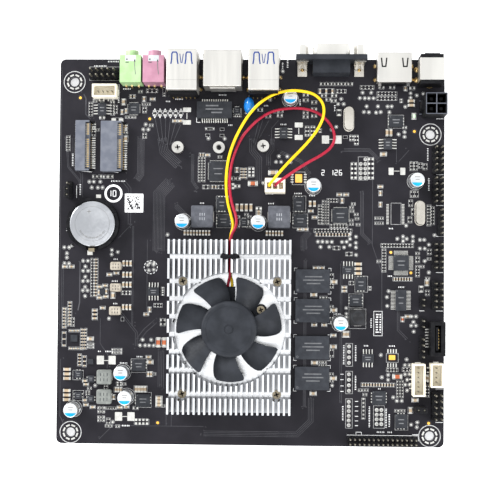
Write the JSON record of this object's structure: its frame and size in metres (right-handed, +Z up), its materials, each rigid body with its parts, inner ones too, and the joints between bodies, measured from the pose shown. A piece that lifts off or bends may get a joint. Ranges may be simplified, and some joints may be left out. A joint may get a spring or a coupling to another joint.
{
  "type": "single board computer",
  "caption": "Square single board computer with a finned heatsink and recessed fan, a rear row of ports, card sockets, a coin cell and edge pin headers.",
  "frame": {"origin": "centre of the board's underside", "axes": "+X right when the ports face away, +Y to the rear edge with the ports, +Z up from the board"},
  "size_m": [0.17, 0.175, 0.0194],
  "materials": {
    "board_mask": "satin",
    "solder": "satin",
    "heatsink_metal": "extruded",
    "screw_steel": "plated",
    "port_metal": "tin plated",
    "contact_metal": "gold plated",
    "black_plastic": "moulded",
    "grey_plastic": "moulded",
    "green_plastic": "moulded",
    "pink_plastic": "moulded",
    "blue_plastic": "moulded",
    "ivory_plastic": "moulded",
    "fan_plastic": "moulded",
    "coil_copper": "enamelled wire",
    "bearing_bronze": "sintered",
    "magnet": "bonded ferrite",
    "yellow_wire": "insulation",
    "red_wire": "insulation",
    "thermal_pad": "soft",
    "chip_epoxy": "moulded",
    "choke_ferrite": "pressed powder",
    "can_metal": "drawn",
    "ceramic": "fired",
    "cell_steel": "stamped",
    "blue_lacquer": "dipped"
  },
  "bodies": {
    "board": {"pcb": "board_mask", "solder_joints": "solder", "processor": "chip_epoxy", "thermal_pad": "thermal_pad", "heatsink": "heatsink_metal", "heatsink_screws": "screw_steel", "fan_stator": "fan_plastic", "fan_screws": "screw_steel", "fan_coils": "coil_copper", "fan_bearing": "bearing_bronze", "fan_wire_yellow": "yellow_wire", "fan_wire_red": "red_wire", "cable_tie": "black_plastic", "fan_plug": "ivory_plastic", "fan_header": "ivory_plastic", "battery_holder": "black_plastic", "audio_jack_green": "green_plastic", "audio_jack_pink": "pink_plastic", "usb_shell_left": "port_metal", "usb_shell_right": "port_metal", "usb_inserts": "blue_plastic", "lan_shield": "port_metal", "lan_insert": "black_plastic", "monitor_port_body": "black_plastic", "monitor_port_shell": "port_metal", "monitor_port_nuts": "port_metal", "monitor_port_brackets": "port_metal", "video_port_shell": "port_metal", "video_port_tongue": "black_plastic", "dc_jack_housing": "black_plastic", "dc_jack_shield": "port_metal", "dc_jack_pin": "port_metal", "power_socket": "black_plastic", "card_socket_left": "grey_plastic", "card_socket_right": "grey_plastic", "card_socket_contacts": "contact_metal", "card_standoffs": "port_metal", "card_screws": "screw_steel", "power_chokes": "choke_ferrite", "supply_chokes": "choke_ferrite", "surge_disc": "blue_lacquer", "capacitor_cans": "can_metal", "memory_chips": "chip_epoxy", "control_chips": "chip_epoxy", "power_transistors": "chip_epoxy", "lan_transformer": "chip_epoxy", "crystals": "port_metal", "header_bases": "black_plastic", "header_pins": "contact_metal", "sata_port": "black_plastic", "wafer_connectors": "ivory_plastic", "chip_capacitors": "ceramic"},
    "rotor": {"fan_rotor": "fan_plastic", "fan_shaft": "screw_steel", "rotor_magnet": "magnet"},
    "cell": {"coin_cell": "cell_steel"},
    "latch": {"battery_latch": "port_metal"},
    "left_cap": {"jumper_cap_left": "black_plastic"},
    "right_cap": {"jumper_cap_right": "black_plastic"}
  },
  "joints": [
    {"name": "fan_spin", "type": "hinge", "parent": "board", "child": "rotor", "pos_m": [-0.0085, -0.0337, 0.0092], "axis": [0, 0, 1], "continuous": true},
    {"name": "cell_lift", "type": "slide", "parent": "board", "child": "cell", "axis": [0, 0, 1], "range_m": [0, 0.012]},
    {"name": "latch_flex", "type": "hinge", "parent": "board", "child": "latch", "pos_m": [-0.0694, 0.0007, 0.00265], "axis": [1, 0, 0], "range_deg": [0, 12], "stiffness_Nm_per_rad": 0.02},
    {"name": "left_cap_lift", "type": "slide", "parent": "board", "child": "left_cap", "axis": [0, 0, 1], "range_m": [0, 0.008]},
    {"name": "right_cap_lift", "type": "slide", "parent": "board", "child": "right_cap", "axis": [0, 0, 1], "range_m": [0, 0.008]}
  ]
}
